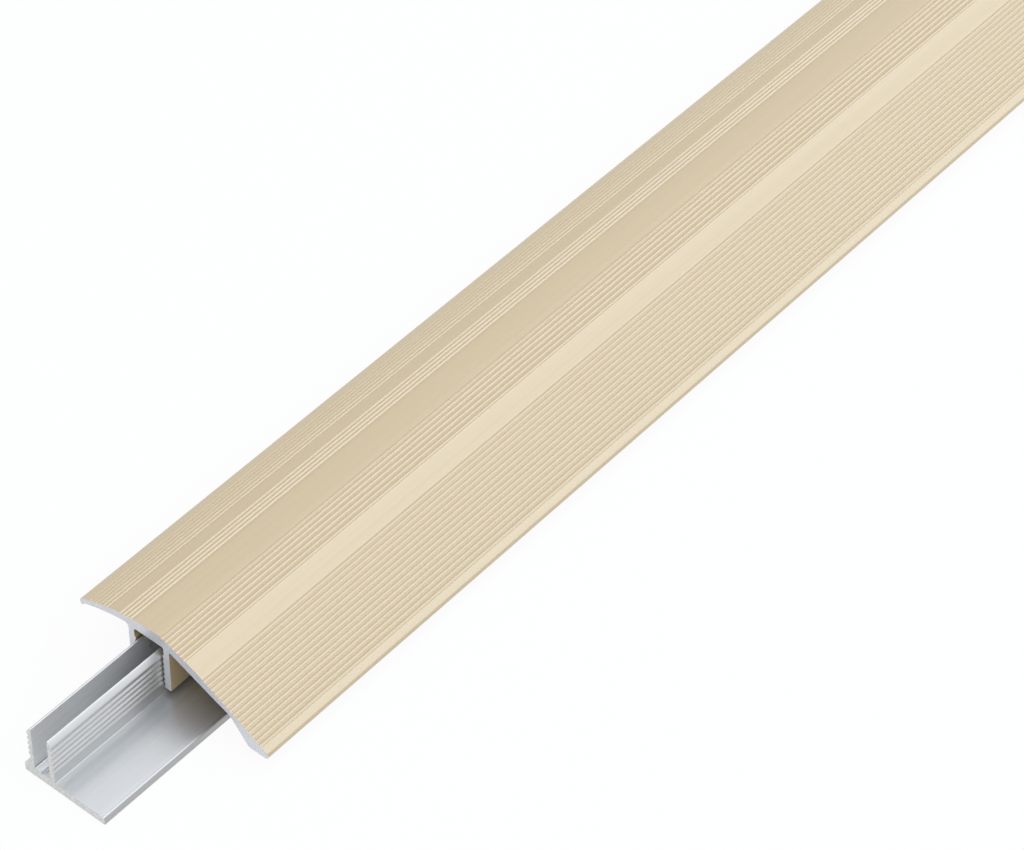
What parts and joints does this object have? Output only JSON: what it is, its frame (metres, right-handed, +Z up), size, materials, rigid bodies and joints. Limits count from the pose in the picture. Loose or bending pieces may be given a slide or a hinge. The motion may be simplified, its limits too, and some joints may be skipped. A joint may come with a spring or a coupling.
{
  "type": "threshold strip",
  "caption": "Height-adapting floor threshold strip: a fluted ramp cover presses over a toothed base rail that is screwed to the subfloor.",
  "frame": {"origin": "under the middle of the base rail's channel, half way along the rail, on the subfloor", "axes": "+X across the strip towards the lower floor, +Y along it, +Z up from the subfloor"},
  "size_m": [0.0438, 0.9268, 0.0432],
  "materials": {
    "mill_aluminium": "mill finish with fine lengthwise draw lines",
    "sand_anodised_aluminium": "fine satin, sand-coloured anodised",
    "zinc_plated_steel": "bright zinc plate",
    "grey_nylon": "moulded nylon"
  },
  "bodies": {
    "base": {"base_rail": "mill_aluminium", "screw_1": "zinc_plated_steel", "screw_2": "zinc_plated_steel", "screw_3": "zinc_plated_steel", "screw_4": "zinc_plated_steel", "screw_5": "zinc_plated_steel", "wall_plug_1": "grey_nylon", "wall_plug_2": "grey_nylon", "wall_plug_3": "grey_nylon", "wall_plug_4": "grey_nylon", "wall_plug_5": "grey_nylon"},
    "cover_body": {"cover": "sand_anodised_aluminium"}
  },
  "joints": [
    {"name": "cover_height", "type": "slide", "parent": "base", "child": "cover_body", "axis": [0, 0, 1], "range_m": [-0.00115, 0.0039]}
  ]
}
